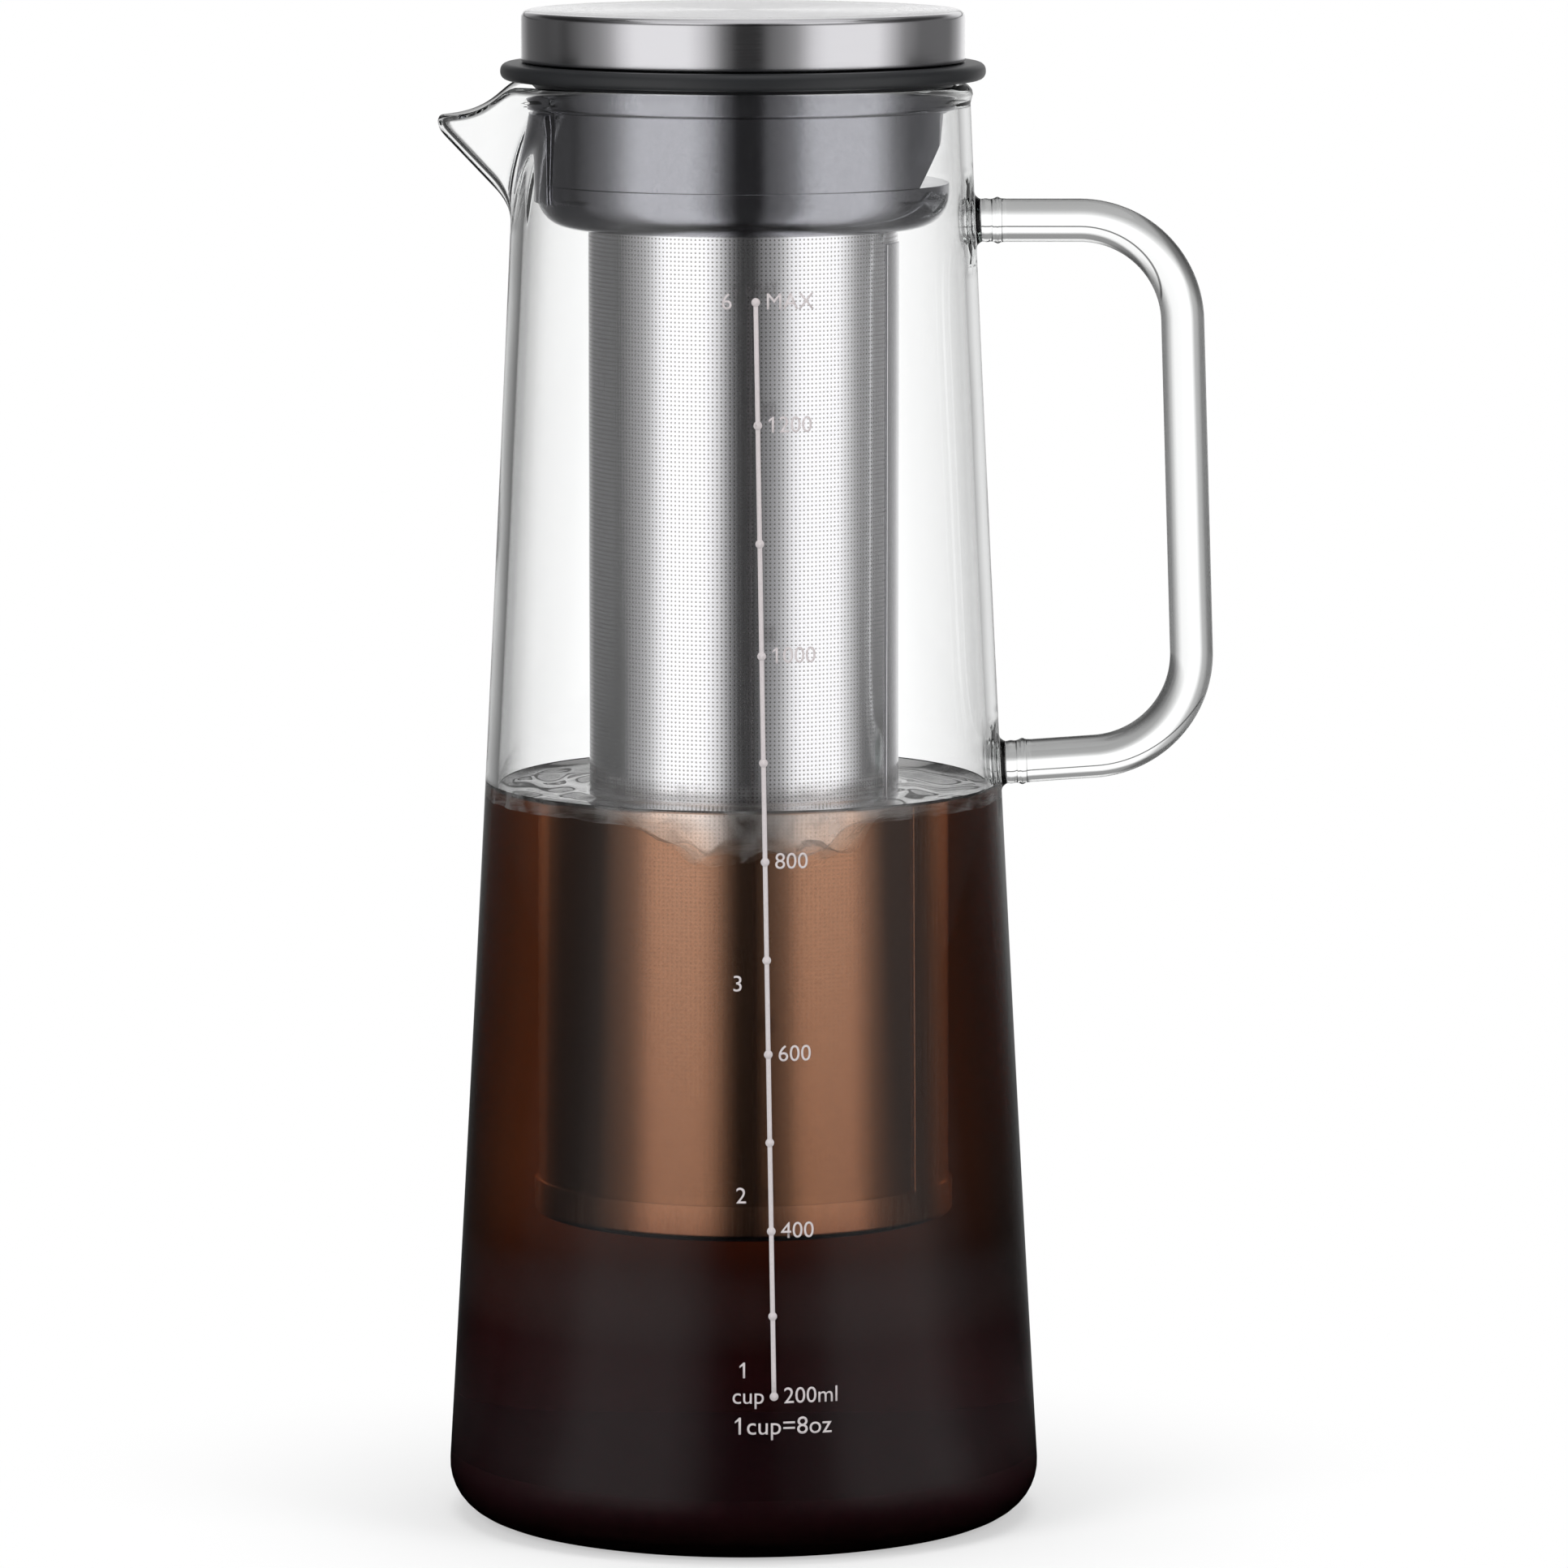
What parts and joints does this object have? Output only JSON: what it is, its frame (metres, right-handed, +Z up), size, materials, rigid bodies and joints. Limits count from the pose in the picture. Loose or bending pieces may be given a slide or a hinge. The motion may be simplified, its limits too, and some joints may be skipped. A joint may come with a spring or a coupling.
{
  "type": "cold brew coffee maker",
  "caption": "Tapered glass carafe with pouring spout and rod handle, holding a hanging mesh filter tube under a turning pour collar, a rubber gasket and a steel-capped lid.",
  "frame": {"origin": "centre of the carafe's flat underside, on the carafe's axis", "axes": "+Z up along the carafe's axis, +X towards the handle, -X towards the spout"},
  "size_m": [0.1349, 0.1034, 0.2639],
  "materials": {
    "borosilicate_glass": "clear, flame polished",
    "black_silicone": "satin moulded silicone",
    "collar_plastic": "glossy dark grey moulding",
    "etched_steel_mesh": "photo-etched stainless sheet, 0.3 mm square holes",
    "plain_steel": "satin stainless steel",
    "brushed_cap_steel": "brushed stainless steel",
    "core_plastic": "fine satin moulding"
  },
  "bodies": {
    "carafe": {"carafe_body": "borosilicate_glass", "carafe_handle": "borosilicate_glass"},
    "gasket": {"sealing_gasket": "black_silicone"},
    "collar": {"pour_collar": "collar_plastic", "collar_base": "collar_plastic"},
    "basket": {"filter_rim": "plain_steel", "filter_mesh": "etched_steel_mesh", "filter_base": "plain_steel", "filter_seam_strip": "plain_steel"},
    "lid": {"lid_cap": "brushed_cap_steel", "lid_core": "core_plastic", "lid_seal_ring": "black_silicone"}
  },
  "joints": [
    {"name": "stopper_lift", "type": "slide", "parent": "carafe", "child": "gasket", "axis": [0, 0, 1], "range_m": [0, 0.205]},
    {"name": "collar_turn", "type": "hinge", "parent": "gasket", "child": "collar", "pos_m": [0, 0, 0.24], "axis": [0, 0, 1], "continuous": true},
    {"name": "basket_lift", "type": "slide", "parent": "collar", "child": "basket", "axis": [0, 0, 1], "range_m": [0, 0.21]},
    {"name": "lid_lift", "type": "slide", "parent": "basket", "child": "lid", "axis": [0, 0, 1], "range_m": [0, 0.04]}
  ]
}
